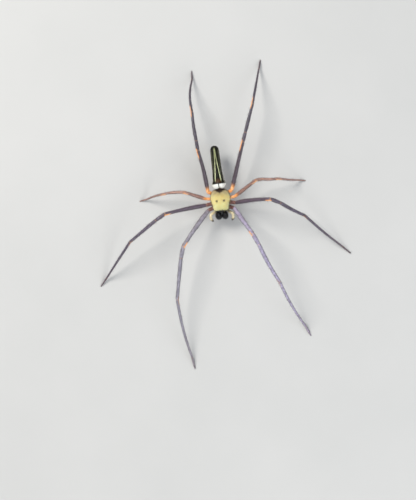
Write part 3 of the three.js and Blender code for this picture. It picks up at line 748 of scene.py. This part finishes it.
def leg_skin(side, pair):
    base, girth = LEG_SIZE[pair][:2]
    r = Named(**{k: v * base for k, v in HIP_RADIUS.items()}, **{k: v * girth for k, v in LEG_RADIUS.items()})
    joints = leg_joints(side, pair)
    neck = 1 - 1.5 / np.linalg.norm(joints[1] - joints[0])
    trochanter = [(neck, r.coxa * 0.8), (neck + 0.12, r.trochanter), (1, r.trochanter * 0.93)]
    femur = [(0, r.femur_root), (0.25, r.femur), (0.85, r.femur_end * 0.96), (1, r.femur_end)]
    tibia = [(0, r.tibia * 0.95), (0.2, r.tibia), (0.85, r.tibia_end), (1, r.tibia_end * 1.04)]
    femur_sway, tibia_sway, metatarsus_sway = STANCE[side, pair][3]
    segments = [
        Segment([(0, r.coxa_root), (0.45, r.coxa), *trochanter], least=r.coxa * 0.84),
        Segment(femur, bow=0.35 * girth, sway=femur_sway, tall=1.06),
        Segment([(0, r.femur_end), (0.5, r.patella), (1, r.tibia * 0.97)]),
        Segment(tibia, sway=tibia_sway),
        Segment(
            [(0, r.metatarsus * 1.12), (0.12, r.metatarsus), (1, r.metatarsus_end)],
            bow=0.5 * girth,
            sway=metatarsus_sway,
        ),
        Segment([(0, r.metatarsus_end * 0.96), (0.3, r.tarsus), (1, r.tip)]),
    ]
    path, wide, high, span, gap = limb(joints, segments)
    nip = (1 - 0.16 * np.exp(-((gap / 0.3) ** 2))) * 0.98
    skin = kept_above_floor(tube(path, wide * nip, 22, high * nip, span=span, gap=gap))
    # Orange shows where flank is negative: on the side towards the head, or on the last legs towards -X
    if side == "left" and pair < 4:
        skin.values["flank"] = -skin.values["flank"]
    return skin


def claw_skins(side, pair):
    joints = leg_joints(side, pair)
    tip, way = joints[-1], unit((joints[-1] - joints[-2]) * np.array([1, 1, 0]))
    across, up = np.array([-way[1], way[0], 0]), np.array([0, 0, 1.0])
    t = np.linspace(0, 1, 14)[:, None]
    claws = []
    for hand in (-1, 1):
        path = tip + way * mix(CLAW.root, CLAW.length, t) + across * hand * CLAW.spread * (0.4 + t)
        path = path + up * (0.12 * np.sin(np.pi * t) - 0.08 * t)
        radius = mix(CLAW.radius, CLAW.point, t[:, 0])
        claws.append(kept_above_floor(tube(path, radius, 10, span=6 + 0 * radius, gap=9 + 0 * radius)))
    return claws


def palp_skin(side):
    r = PALP_RADIUS
    segments = [
        Segment([(0, r.root), (0.5, r.femur), (1, r.knee)]),
        Segment([(0, r.knee), (0.6, r.tibia), (1, r.tibia)]),
        Segment([(0, r.tibia), (0.35, r.tarsus), (1, r.tip)]),
    ]
    path, wide, high, span, gap = limb([mirrored(p, side) for p in PALP], segments, step=0.12, reach=4)
    nip = 0.98 - 0.12 * np.exp(-((gap / 0.22) ** 2))
    return tube(path, wide * nip, 28, high * nip, span=span, gap=gap)


def abdomen_skin():
    """place is where a point lies before the abdomen is turned, and up is 1 along the back and -1 below."""
    a = ABDOMEN
    px, pz, py = sphere_grid(150, 120)
    py = -py
    t = (py + 1) / 2
    round_ = np.maximum(np.hypot(px, pz), 1e-6)
    fill = np.sqrt(np.maximum(0, 1 - np.abs(py) ** 12)) / round_
    stops = [(0.06, a.shoulder), (0.2, a.waist), (0.45, a.middle), (1, a.rear_half_width)]
    wide = along(stops, t)
    high = wide * mix(0.86, 1.1, smooth(t, 0, 0.35))
    x = wide * px * fill
    y = mix(a.front, a.rear, t)
    z = mix(*a.axis, t) + high * pz * fill
    y = y - a.lobe * hump(np.abs(x), 1.9, 0.9) * (1 - smooth(t, 0, 0.12)) * smooth(pz, -0.6, 0.3)
    lungs = 0.3 * hump(t, 0.16, 0.08) * hump(np.abs(x), 1.5, 0.8)
    plate = 0.3 * hump(t, 0.23, 0.035) * hump(x, 0, 0.9)
    z = z - (lungs + plate) * smooth(-pz, 0, 0.5)
    pits = 0.0
    for at, out in ((0.2, 0.9), (0.34, 0.85), (0.5, 0.75), (0.66, 0.7)):
        pits = pits + 0.1 * hump(y, mix(a.front, a.rear, at), 0.22) * hump(np.abs(x), out, 0.22)
    z = z - pits * smooth(pz, 0, 0.5)
    straight = np.stack([x, y, z], -1)
    return Skin(turned_abdomen(straight), place=straight, up=pz)


def pedicel_skin():
    start, end = np.array(PEDICEL.start), np.array(PEDICEL.end)
    t = np.linspace(0, 1, 20)[:, None]
    return tube(mix(start, end, t), PEDICEL.radius * (0.86 + 0.1 * np.cos(6 * np.pi * t[:, 0])), 28)


def spinneret_skins():
    """The ring they stand on, the anal cone and three pairs of spinnerets."""
    s = SPINNERETS

    def one(x, y, radius, tip, lean, blunt=0.45):
        t = np.linspace(1, 0, 30)
        path = np.stack([x + lean[0] * (1 - t), y + lean[1] * (1 - t), mix(s.root, tip, 1 - t)], -1)
        r = radius * mix(blunt, 1, smooth(t, -0.25, 0.45)) * np.sqrt(np.minimum(1, (t + 0.012) * 14))
        skin = tube(path, r, 28, up=(0, 1, 0.1), span=1 - t)
        return Skin(turned_abdomen(skin.points), place=skin.points, span=skin.values["span"])

    y, tip = s.y, s.tip
    skins = [one(0, y + 0.3, s.ring, s.ring_tip, (0, 0), 0.85), one(0, y + 2.0, 0.6, tip + 1.6, (0, 0.15))]
    for side in (-1, 1):
        x = side * s.spread
        skins.append(one(x, y - 0.75, s.radius, tip, (side * 0.1, -0.1)))
        skins.append(one(x, y + 0.85, s.radius, tip + 0.25, (side * 0.12, 0.3)))
        skins.append(one(side * 0.3, y + 0.05, 0.34, tip + 0.7, (0, 0)))
    return skins


# Finishes


def carapace_colour(paint):
    """Gold fur on brown shell, and the mask of bare shell and painted shade: a bare wedge behind, the bare
    eyes' field, and painted shade darkening the rim where the sides slope away.
    """
    x, y = paint.across_and_along()
    ragged = (paint.noise(0.9, 4) - 0.5) * 0.9
    wedge = (x - (y - 3.3) * 1.55 + ragged).step(0.55, -0.5)
    brow = (y + ragged * 0.4 + x * x * 0.02).step(-5.35, -5.75)
    # Painted shade: the sloping rim is darkened to the shell's colour
    rim = (paint.value("edge") + ragged * 0.08).step(0.9, 0.985)
    rear = y.step(0.8, 4.6)
    pale = (paint.noise(0.55, 5).step(0.35, 0.65) * 0.6 + y.step(0.0, -4.5) * 0.6).at_most(1.0)
    gold = paint.blend(pale, HUE.gold, HUE.pale_gold)
    gold = paint.blend(rear * 0.85, gold, HUE.grey_gold)
    rays = (y * 2.6 + x * 2.2).sine() * 0.5 + 0.5
    gold = paint.blend(rays * rear * 0.25, gold, HUE.notch_brown)
    gold = paint.blend(paint.noise(1.1, 4).step(0.58, 0.72) * 0.18, gold, HUE.tawny)
    beside, behind = x - HORN.x, y - HORN.y
    horns = (beside * beside + behind * behind).step(0.5, 0.12)
    gold = paint.blend(horns * 0.9, gold, HUE.notch_brown)
    shell = paint.blend(y.step(-2.0, 2.0), HUE.eye_field, HUE.notch_brown)
    bare_shell_and_shaded_rim = wedge.at_least(brow).at_least(rim * 0.85)
    return paint.blend(bare_shell_and_shaded_rim, gold, shell), bare_shell_and_shaded_rim


def carapace_shell_finish():
    paint = Paint("carapace shell")
    colour, bare_shell_and_shaded_rim = carapace_colour(paint)
    speckle = paint.noise(9.0, 3)
    colour = paint.blend(speckle.step(0.45, 0.75) * 0.35 * (1 - bare_shell_and_shaded_rim), colour, HUE.notch_brown)
    fur = paint.noise(14.0, 2, stretch=(1.0, 0.25, 1.0))
    return paint.finish(colour, 0.62 - bare_shell_and_shaded_rim * 0.25, paint.relief(fur + speckle * 0.4, 0.12, 0.6))


def carapace_fur_finish():
    paint = Paint("golden carapace fur")
    colour, bare_shell_and_shaded_rim = carapace_colour(paint)
    colour = paint.blend(paint.value("shade").step(0.55, 1.0) * 0.5 * (1 - bare_shell_and_shaded_rim), colour, HUE.fur_light)
    return paint.finish(colour, 0.5, Sheen_Weight=0.25, Sheen_Roughness=0.4)


def leg_colour(paint, pair):
    """Clouded shell, paler along the top as painted sheen, with orange at the hip and under the joints, and
    the mask of the orange for the hair.

    span is 1 at the end of the coxa, 2 at the knee, 3 at the patella's end, 4 at the ankle, 6 at the tip.
    """
    span, gap, back, flank = (paint.value(k) for k in ("span", "gap", "back", "flank"))
    front = pair < 3
    cloud = paint.noise(0.7, 4)
    # The cloud mottles the shell, and the top of each leg is made paler as painted sheen
    mottle_and_painted_sheen = (cloud.step(0.35, 0.7) * 0.5 + back.step(0.1, 0.95) * 0.6).at_most(1.0)
    colour = paint.blend(mottle_and_painted_sheen, *LEG_TONES_AND_PAINTED_SHEEN[pair])
    # Less painted sheen on the right front leg than the painted reflection on the left one
    if pair == 1:
        right = paint.place().part("X").step(-1.0, -3.0)
        colour = paint.blend(right * 0.75, colour, paint.blend(mottle_and_painted_sheen, *RIGHT_FRONT_LEG_LESS_SHEEN))
    colour = paint.blend(span.step(3.4, 1.0) * (0.6 if pair == 3 else 0.15), colour, HUE.leg_brown)
    orange = paint.blend(cloud.step(0.35, 0.7), HUE.orange, HUE.pale_orange)
    hip = span.step(HIP_COLOUR_ENDS[pair], 0.98 if front else 1.03)
    colour = paint.blend(hip, colour, HUE.hip_brown if front else orange)
    knee = span.bell(2.0, 0.2 if front else 0.3).step(0.15, 0.6)
    ankle = span.bell(4.0, 0.14 if front else 0.28).step(0.15, 0.6) * (0.25 if front else 1.0)
    patches = knee.at_least(ankle) * (back + flank * 0.9).step(0.75, 0.1)
    colour = paint.blend(patches, colour, orange)
    colour = paint.blend(gap.step(0.28, 0.1) * 0.5, colour, HUE.joint_skin)
    colour = paint.blend(span.step(4.2, 5.6) * 0.3, colour, HUE.leg_brown)
    return colour, patches if front else patches.at_least(hip)


def leg_shell_finish(pair):
    paint = Paint(f"leg shell {pair}")
    colour, _ = leg_colour(paint, pair)
    streaks = paint.noise(3.0, 4, stretch=(1.0, 1.0, 2.0))
    relief = paint.relief(paint.noise(5.0, 3), 0.05, 0.5)
    return paint.finish(colour, 0.3 + streaks * 0.22, relief, Coat_Roughness=0.3, Sheen_Weight=0.15)


def leg_hair_finish(pair):
    paint = Paint(f"leg hair {pair}")
    shade = paint.value("shade")
    _, orange = leg_colour(paint, pair)
    dark, bright = paint.ramp(shade, *DARK_HAIR), paint.blend(shade, HUE.orange, HUE.orange_hair)
    return paint.finish(paint.blend(orange * 0.85, dark, bright), 0.42)


def spine_finish():
    paint = Paint("dark hair")
    return paint.finish(paint.ramp(paint.value("shade"), *DARK_HAIR), 0.42)


def abdomen_colour(paint):
    """Black back with cream front band and pale lines, brown and spotted below, and the mask of the band."""
    x, y = paint.across_and_along()
    up = paint.value("up")
    ragged = (paint.noise(0.8, 4) - 0.5) * 0.5
    cloud = paint.noise(0.35, 4)
    back = paint.blend(cloud.step(0.45, 0.75), HUE.black, HUE.green_black)
    belly = paint.blend(cloud.step(0.35, 0.7), HUE.belly, HUE.pale_belly)
    spots = paint.cells(0.55).step(0.42, 0.3) * up.step(-0.25, -0.5) * y.step(9.5, 12.0)
    belly = paint.blend(spots * 0.8, belly, HUE.belly_spot)
    colour = paint.blend(up.step(0.05, -0.35), back, belly)
    # The two lines run apart towards the front, as far from the middle as lane says
    lane = ((28.2 - y).at_least(0.0) / 10.6) ** 1.5 * 0.65 + 0.15
    saddle = y.bell(10.2, 1.9) * (x - lane).step(0.1, -0.3)
    colour = paint.blend(saddle * 0.85, colour, HUE.saddle)
    lines = abs(x - lane + ragged * 0.2).step(0.3, 0.14) * y.step(9.4, 11.0) * y.step(28.4, 27.0)
    lines = lines * up.step(0.1, 0.35)
    colour = paint.blend(lines * 0.95, colour, paint.blend(y.step(14.0, 24.0), HUE.stripe, HUE.stripe_front))
    outer = abs(x - 1.78 + ragged * 0.2).step(0.24, 0.1) * y.step(11.0, 13.5) * y.step(28.0, 26.0)
    outer = outer * up.step(0.1, 0.3)
    colour = paint.blend(outer * 0.4, colour, HUE.outer_line)
    flank = abs(up - 0.12 + ragged * 0.2).step(0.2, 0.08) * y.step(8.0, 9.5) * y.step(27.5, 24.0)
    colour = paint.blend(flank * 0.7, colour, HUE.flank_line)
    parted = (x + ragged * 0.3).step(0.1, 0.32)
    band = (y + ragged * 0.7).step(8.75, 8.35) * up.step(-0.45, -0.15) * parted
    colour = paint.blend(band, colour, HUE.cream)
    lung = y.bell(10.2, 2.0).step(0.2, 0.6) * up.step(-0.5, -0.7)
    return paint.blend(lung * 0.6, colour, HUE.lung_cover), band


def abdomen_skin_finish():
    paint = Paint("abdomen skin")
    colour, band = abdomen_colour(paint)
    wrinkles = paint.noise(2.2, 5, stretch=(1.0, 0.35, 1.0)) + paint.noise(11.0, 2) * 0.3
    return paint.finish(colour, 0.42 + band * 0.2, paint.relief(wrinkles, 0.14, 0.55), Specular_IOR_Level=0.3)


def abdomen_hair_finish():
    paint = Paint("abdomen hair")
    colour, _ = abdomen_colour(paint)
    colour = paint.blend(paint.value("shade").step(0.6, 1.0) * 0.2, colour, HUE.hair_light)
    return paint.finish(colour, 0.6, Specular_IOR_Level=0.12)


def clouded_finish(name, cloud, tones, roughness, bump, markings=None, **constants):
    """A shell clouded in two tones.

    cloud is the scale of the noise and the step that it is put through, roughness a base and what the cloud
    adds, and bump the scale, detail, depth and strength of the relief. markings paints on the colour.
    """
    paint = Paint(name)
    scale, low, high = cloud
    cloud = paint.noise(scale, 4)
    colour = paint.blend(cloud.step(low, high), *map(linear, tones))
    if markings:
        colour = markings(paint, colour, cloud)
    scale, detail, depth, strength = bump
    relief = paint.relief(paint.noise(scale, detail), depth, strength)
    return paint.finish(colour, roughness[0] + cloud * roughness[1], relief, **constants)


def jaw_finish():
    tones = ("08080C", "0C0B10")
    bump = (9.0, 3, 0.04, 0.5)
    return clouded_finish("jaw shell", (3.5, 0.45, 0.8), tones, (0.16, 0.16), bump, Specular_IOR_Level=0.25)


def sternum_finish():
    def dark_edge(paint, colour, cloud):
        x, y = paint.across_and_along()
        edge = (x + (y + 1.0).step(0.0, 4.5) * 1.3 + (cloud - 0.5) * 0.5).step(2.0, 2.7)
        return paint.blend(edge * 0.85, colour, linear("3A1F10"))

    tones = ("B9701F", "DE9A3C")
    bump = (5.0, 3, 0.06, 0.5)
    return clouded_finish("sternum shell", (0.9, 0.35, 0.7), tones, (0.38, 0.15), bump, dark_edge)


def membrane_finish():
    tones = ("6E4526", "A3713D")
    return clouded_finish("trunk membrane", (1.2, 0.3, 0.7), tones, (0.55, 0.1), (3.0, 4, 0.1, 0.6))


def palp_finish():
    def dark_tip(paint, colour, cloud):
        tip = (paint.value("span") + (cloud - 0.5) * 0.25).step(2.1, 2.6)
        return paint.blend(tip, colour, linear("2A1C18"))

    tones = ("D9C79A", "F1E7C8")
    return clouded_finish("palp shell", (1.4, 0.35, 0.7), tones, (0.42, 0.12), (6.0, 3, 0.05, 0.5), dark_tip)


def spinneret_finish():
    def dark_tips(paint, colour, cloud):
        return paint.blend(paint.value("span").step(0.75, 1.0), colour, linear("1B120D"))

    tones = ("3B2818", "6B4B2C")
    bump = (4.0, 3, 0.06, 0.6)
    return clouded_finish("spinneret skin", (1.6, 0.3, 0.7), tones, (0.5, 0.15), bump, dark_tips)


def mouthpart_finish():
    paint = Paint("mouthpart shell")
    x, y = paint.across_and_along()
    inner = (x * 0.9 + y * 0.35 + (paint.noise(1.5) - 0.5) * 0.3).step(-0.95, -1.35)
    colour = paint.blend(paint.noise(1.2, 4).step(0.35, 0.7), linear("170D0A"), linear("3A2114"))
    colour = paint.blend(inner * 0.85, colour, linear("C8A463"))
    return paint.finish(colour, 0.35 + paint.noise(3.0) * 0.15, paint.relief(paint.noise(6.0, 3), 0.05, 0.5))


def fang_finish():
    paint = Paint("fang horn")
    colour = paint.ramp(paint.value("span") + (paint.noise(2.0) - 0.5) * 0.2, *FANG_HORN)
    return paint.finish(colour, 0.16 + paint.noise(6.0) * 0.1)


def jaw_hair_finish():
    """Black hair that turns pale grey-blue at the lower end of the jaws: partly a pale fringe of hair, partly
    a painted highlight.
    """
    paint = Paint("jaw hair")
    dark = paint.blend(paint.value("shade").step(0.6, 1.0), linear("050507"), linear("1E1B21"))
    # Pale grey-blue at the lower end, partly fringe hair and partly painted highlight
    pale = paint.value("span").step(0.66, 0.95) * 0.85
    return paint.finish(paint.blend(pale, dark, linear("A9B7CC")), 0.45, Specular_IOR_Level=0.2)


def palp_hair_finish():
    paint = Paint("palp hair")
    colour = paint.blend(paint.value("span").step(1.9, 2.4), linear("E6DBB8"), linear("2B211F"))
    return paint.finish(paint.blend(paint.value("shade") * 0.4, colour, linear("8C7A62")), 0.5)


def eye_finish():
    paint = Paint("eye lens")
    colour = paint.blend(paint.noise(3.0), linear("050405"), linear("130E0F"))
    return paint.finish(colour, 0.05 + paint.noise(2.0) * 0.03, Coat_Weight=1.0, Coat_Roughness=0.03)


def pedicel_finish():
    paint = Paint("pedicel skin")
    cloud = paint.noise(1.8, 3)
    return paint.finish(paint.blend(cloud, linear("2A190F"), linear("5C3A20")), 0.45 + cloud * 0.15)


def floor_finish():
    paint = Paint("pale floor")
    coords = paint.node("ShaderNodeTexCoord", {}, {}, out="Object", vector=True)
    cloud = paint.noise(14.0, 4, coords=coords)
    return paint.finish(paint.blend(cloud, linear("B4B4B2"), linear("BFBEBC")), 0.75 + cloud * 0.05)


# Dressing


def dress(piece, finish, slot, *nodes):
    """Gives a piece its finish and its body, and hides the solids that it stands for; slot is not used."""
    piece.data.materials.append(finish)
    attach(piece, "root")
    if nodes:
        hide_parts(*nodes)


def hairs(number):
    return max(20, int(number * HAIR_SHARE))


carapace = carapace_skin()
shell = make_skin("carapace_shell", [carapace, *bare_mounds()])
dress(shell, carapace_shell_finish(), "carapace", "carapace")
dress(make_skin("trunk_membrane", core_skin()), membrane_finish(), "carapace")

# Fur covers the top, and thins out over the eyes and towards the rear
y = carapace.points[..., 1]
furry = np.where(carapace.points[..., 2] > CARAPACE.rim + 0.25, 1.0, 0.02)
furry = furry * mix(1.0, 0.12, smooth(-y, 5.2, 6.0)) * mix(1, 0.35, smooth(y, 3.5, 5.5))
fur = carapace_fur_finish()
for name, number, length, width, habit in (
    ("carapace_fur", 15000, 0.75, 0.07, dict(lie=0.88, jitter=0.3, curl=0.3)),
    ("carapace_long_hair", 500, 1.3, 0.06, dict(lie=0.45, jitter=0.4)),
):
    roots = carapace.scatter(hairs(number), furry)
    flow = roots["root"] * np.array([0.12, 0.0, 0.0]) + np.array([0.0, 1.0, -0.1])
    dress(make_coat(name, roots, length, width, flow, **habit), fur, "carapace")

mouthpart = mouthpart_finish()
dress(make_skin("sternum_plate", sternum_skin()), sternum_finish(), "sternum", "sternum")
dress(make_skin("labium_plate", labium_skin()), mouthpart, "mouthparts", "labium")
dress(make_skin("pedicel_stalk", pedicel_skin()), pedicel_finish(), "pedicel", "pedicel")
dress(make_skin("spinneret_group", spinneret_skins()), spinneret_finish(), "spinnerets", "spinnerets")

abdomen = abdomen_skin()
dress(make_skin("abdomen_skin", abdomen), abdomen_skin_finish(), "abdomen", "abdomen")
coat = make_coat("abdomen_hair", abdomen.scatter(hairs(14000)), 0.55, 0.05, (0, 1, 0), lie=0.85, jitter=0.2)
dress(coat, abdomen_hair_finish(), "abdomen")

jaw, jaw_hair, fang = jaw_finish(), jaw_hair_finish(), fang_finish()
palp_shell, palp_hair, lens = palp_finish(), palp_hair_finish(), eye_finish()
for name, side in SIDES.items():
    chelicera = chelicera_skin(side)
    dress(make_skin(f"chelicera_shell_{name}", chelicera), jaw, "chelicera", f"chelicera_{name}")
    roots = chelicera.scatter(hairs(900), 0.5 + smooth(chelicera.values["span"], 0.55, 0.9))
    dress(make_coat(f"chelicera_hair_{name}", roots, 0.6, 0.05, (0, 0, -1), lie=0.72), jaw_hair, "chelicera")
    dress(make_skin(f"fang_horn_{name}", fang_skin(side)), fang, "fang", f"fang_{name}")
    dress(make_skin(f"maxilla_plate_{name}", maxilla_skin(side)), mouthpart, "mouthparts", f"maxilla_{name}")
    palp = palp_skin(side)
    dress(make_skin(f"palp_shell_{name}", palp), palp_shell, "palp", f"palp_{name}")
    roots = palp.scatter(hairs(700))
    dress(make_coat(f"palp_hair_{name}", roots, 0.55, 0.045, lie=0.7), palp_hair, "palp")
    for eye, (*_, radius) in EYES.items():
        piece = make_skin(f"lens_{eye}_{name}", ball(eye_centre(eye, side), radius))
        dress(piece, lens, "eye", f"eye_{eye}_{name}")

leg_shells = {pair: leg_shell_finish(pair) for pair in PAIRS}
leg_hairs = {pair: leg_hair_finish(pair) for pair in PAIRS}
spines = spine_finish()
for name in SIDES:
    for pair in PAIRS:
        leg = leg_skin(name, pair)
        nodes = [f"leg_{name}_{pair}_{part}" for part in ("coxa", "femur", "tibia", "foot")]
        shell = make_skin(f"leg_shell_{name}_{pair}", [leg, *claw_skins(name, pair)])
        dress(shell, leg_shells[pair], "leg", *nodes)
        joints = leg_joints(name, pair)
        length = sum(np.linalg.norm(b - a) for a, b in zip(joints, joints[1:]))
        span = leg.values["span"]
        hairy = np.where(span < 0.9, 0.3, 1.0) * (0.6 + 0.8 * smooth(span, 1.5, 4.0))
        roots = leg.scatter(hairs(length * 34), hairy)
        coat = make_coat(f"leg_hair_{name}_{pair}", roots, 0.62, 0.045, lie=0.78, jitter=0.15)
        dress(coat, leg_hairs[pair], "leg")
        spiny = np.where(span < 1.1, 0.0, 1.0) * np.where(span > 5.6, 0.2, 1.0)
        roots = leg.scatter(hairs(length * 0.85), spiny)
        coat = make_coat(f"leg_spines_{name}_{pair}", roots, 1.5, 0.09, lie=0.65, jitter=0.1, curl=0.15)
        dress(coat, spines, "leg")


# Floor, light and camera, in metres

FLOOR_REACH = 1.5
VIEW_DISTANCE, VIEW_WIDTH = 0.8, 0.270
VIEW_TARGET = (-9.08, -26.31, 10.0)  # millimetres in the animal's frame
TILT_TO_LEFT, TILT_TO_REAR, ROLL = (math.radians(angle) for angle in (3.66, 0.84, 5))

corners = [(x * FLOOR_REACH, y * FLOOR_REACH, 0) for x, y in ((-1, -1), (1, -1), (1, 1), (-1, 1))]
floor_mesh = bpy.data.meshes.new("floor")
floor_mesh.from_pydata(corners, [], [(0, 1, 2, 3)])
floor_mesh.materials.append(floor_finish())
floor_piece = link(bpy.data.objects.new("floor", floor_mesh))
floor_piece.location.z = -0.00002

world = bpy.data.worlds.new("soft studio")
scene.world = world
world.use_nodes = True
world.node_tree.nodes["Background"].inputs["Color"].default_value = (0.86, 0.92, 1.0, 1)
world.node_tree.nodes["Background"].inputs["Strength"].default_value = 0.55


def soft_light(name, place, size, power, colour):
    """A round lamp that points at the animal."""
    light = bpy.data.lights.new(name, "AREA")
    light.shape = "DISK"
    light.size = size
    light.energy = power
    light.color = colour
    lamp = link(bpy.data.objects.new(name, light))
    lamp.location = place
    lamp.rotation_euler = (-Vector(place)).to_track_quat("-Z", "Y").to_euler()


soft_light("key light", (-0.45, 0.5, 0.7), 0.45, 9.0, (1.0, 0.97, 0.92))
soft_light("fill light", (0.7, -0.3, 0.6), 0.8, 3.2, (0.88, 0.93, 1.0))
soft_light("front light", (0.1, -0.75, 0.42), 0.4, 3.2, (1.0, 0.98, 0.94))

lens_data = bpy.data.cameras.new("camera")
lens_data.sensor_width = 36
lens_data.lens = 36 * VIEW_DISTANCE / VIEW_WIDTH
lens_data.clip_start, lens_data.clip_end = 0.02, 10
camera = link(bpy.data.objects.new("camera", lens_data))
scene.camera = camera
back = Vector((math.sin(TILT_TO_LEFT), math.sin(TILT_TO_REAR), 1)).normalized()
right = Vector((math.sin(ROLL), math.cos(ROLL), 0)).cross(back).normalized()
camera.rotation_mode = "QUATERNION"
camera.rotation_quaternion = Matrix((right, back.cross(right), back)).transposed().to_quaternion()
camera.location = Vector((np.array(VIEW_TARGET) + SHIFT) / 1000) + back * VIEW_DISTANCE
scene.view_settings.view_transform = "Standard"
